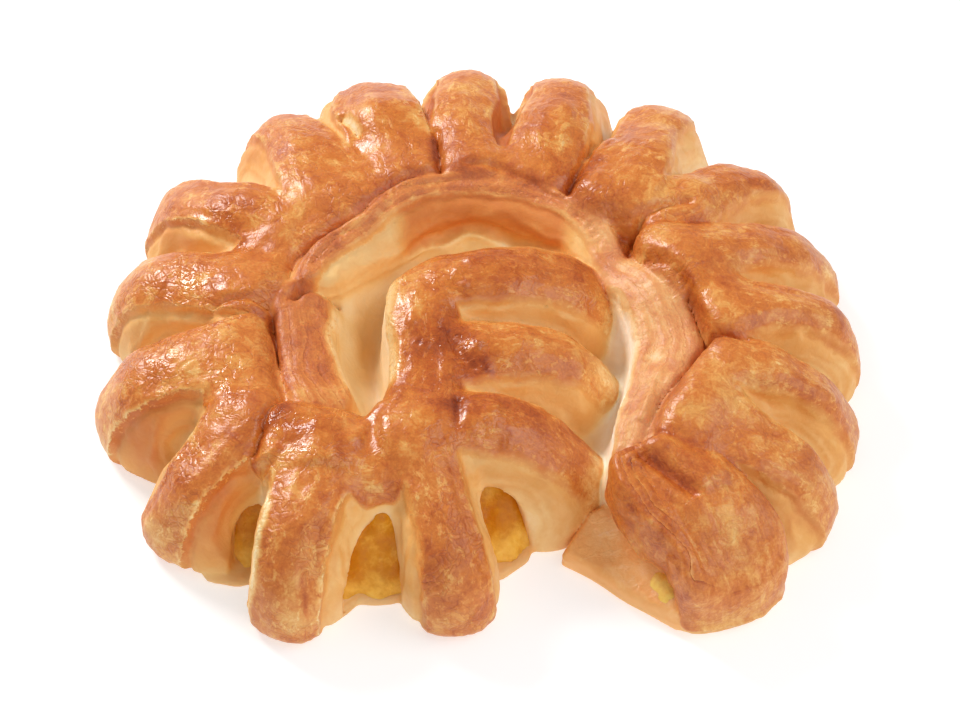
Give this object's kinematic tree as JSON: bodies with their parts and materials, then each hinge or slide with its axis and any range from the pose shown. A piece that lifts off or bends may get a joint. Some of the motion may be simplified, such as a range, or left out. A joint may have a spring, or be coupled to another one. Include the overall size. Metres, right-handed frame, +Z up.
{
  "type": "chestnut danish pastry",
  "caption": "Coiled danish pastry of folded, layered dough, its outer edge cut into rounded fingers, with yellow chestnut paste showing in the cuts.",
  "frame": {"origin": "under the middle of the plan outline, on the surface the pastry rests on", "axes": "+Z up out of the crust; +X the way the coil's inner end points; -Y towards the gap beside the strip's outer end"},
  "size_m": [0.1394, 0.1316, 0.0262],
  "materials": {
    "dough": "baked, egg-washed golden-brown crust with paler layered cut faces, satin",
    "filling": "moist smooth yellow paste"
  },
  "bodies": {
    "root": {"dough": "dough", "filling": "filling"}
  },
  "joints": []
}
